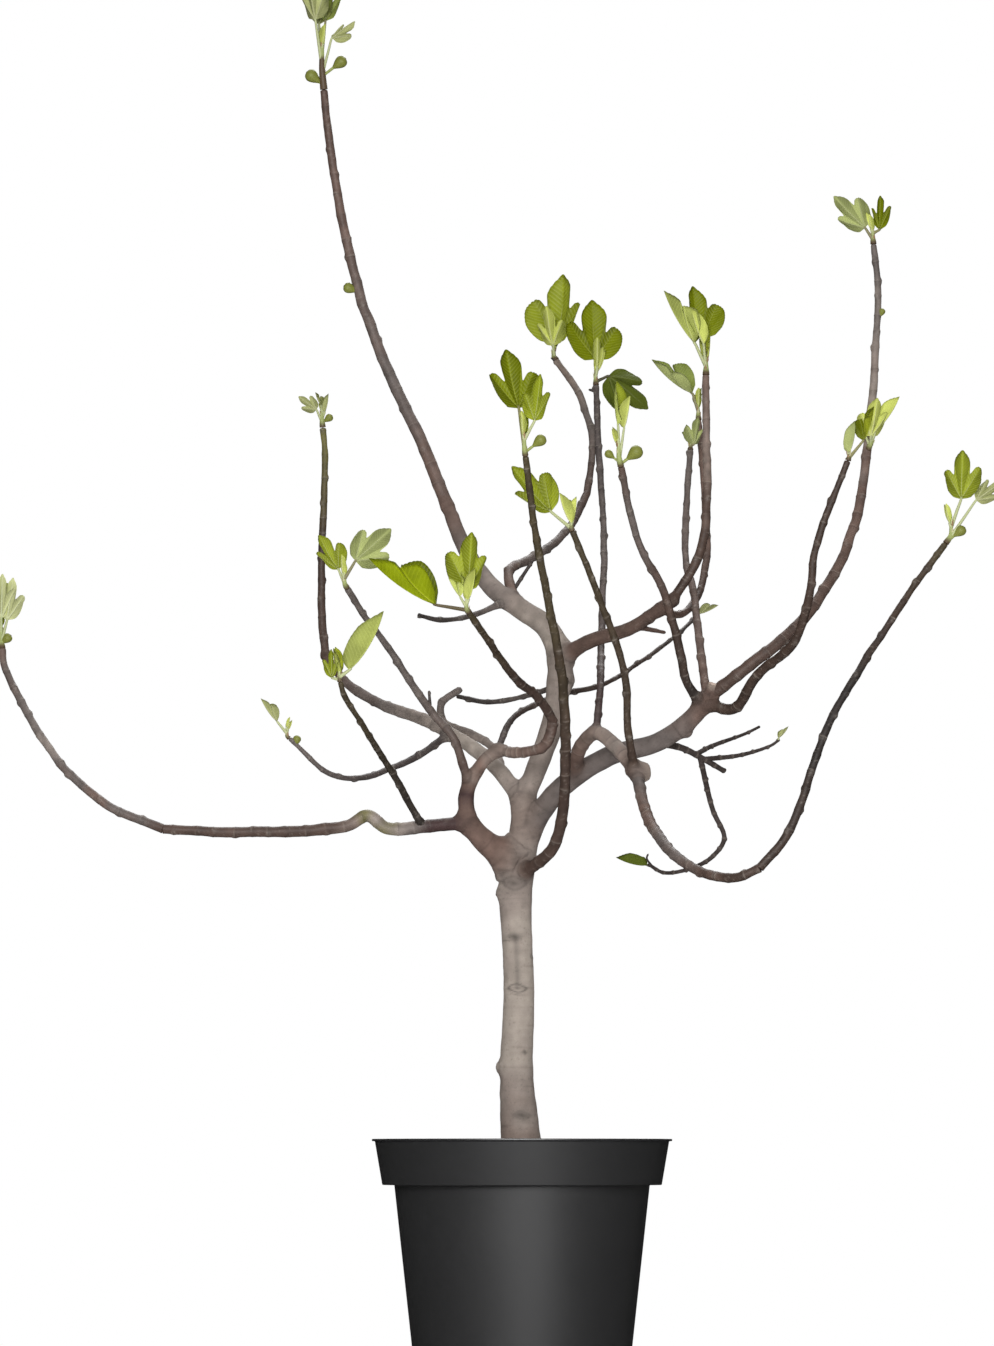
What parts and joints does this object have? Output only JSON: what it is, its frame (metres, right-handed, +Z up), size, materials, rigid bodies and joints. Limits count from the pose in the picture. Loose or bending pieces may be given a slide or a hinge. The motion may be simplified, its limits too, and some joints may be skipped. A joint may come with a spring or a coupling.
{
  "type": "potted fig tree",
  "caption": "Young fig tree in leaf break: one grey trunk, sweeping bare boughs tipped with tufts of small lobed leaves, grown in a round nursery pot.",
  "frame": {"origin": "centre of the pot's flat underside, where it stands", "axes": "+Z up along the trunk, +X to the tree's right seen from the front, +Y to its back"},
  "size_m": [1.3529, 0.8038, 1.9597],
  "materials": {
    "old_bark": "smooth grey-brown bark with fine ring lines and scars",
    "young_bark": "dark brown young bark with pale ring scars",
    "dead_wood": "dry dark grey bark",
    "foliage": "downy yellow-green young leaves, paler beneath",
    "pot_plastic": "satin charcoal plastic",
    "compost": "moist bark compost"
  },
  "bodies": {
    "root": {"arch": "old_bark", "back_riser_leaves": "foliage", "back_whip": "young_bark", "centre_bough": "old_bark", "centre_whip": "young_bark", "centre_whip_leaves": "foliage", "cut_stub": "young_bark", "dead_twig_leader": "dead_wood", "dead_twig_left": "dead_wood", "dead_twigs": "dead_wood", "droop_leaf": "foliage", "droop_shoot": "young_bark", "front_leaves": "foliage", "front_right_leaves": "foliage", "front_shoot": "young_bark", "hanging_twig": "dead_wood", "hook_leaves": "foliage", "hook_riser": "young_bark", "hook_riser_leaves": "foliage", "hook_riser_top": "young_bark", "hook_shoot": "young_bark", "hook_shoot_rise": "young_bark", "knob_leaves": "foliage", "knob_shoot": "young_bark", "leader": "old_bark", "leader_leaves": "foliage", "leader_rise": "old_bark", "left_arm": "young_bark", "left_arm_leaves": "foliage", "left_arm_rise": "young_bark", "left_bough": "old_bark", "left_rise_leaves": "foliage", "left_riser": "old_bark", "left_whip": "young_bark", "left_whip_leaves": "foliage", "long_shoot_leaves": "foliage", "loop": "young_bark", "loop_leaves": "foliage", "loop_rise": "young_bark", "pot": "pot_plastic", "right_back_leaves": "foliage", "right_back_riser": "young_bark", "right_back_shoot": "young_bark", "right_bough": "old_bark", "right_front_shoot": "young_bark", "right_inner_leaves": "foliage", "right_inner_shoot": "young_bark", "right_left_leaves": "foliage", "right_left_shoot": "young_bark", "right_long_shoot": "young_bark", "right_upper_bough": "young_bark", "side_leaves": "foliage", "slant_leaves": "foliage", "slant_shoot": "young_bark", "soil": "compost", "trunk": "old_bark", "upper_left_bough": "young_bark", "upper_left_rise": "young_bark", "whip_tip_leaf": "foliage"}
  },
  "joints": []
}
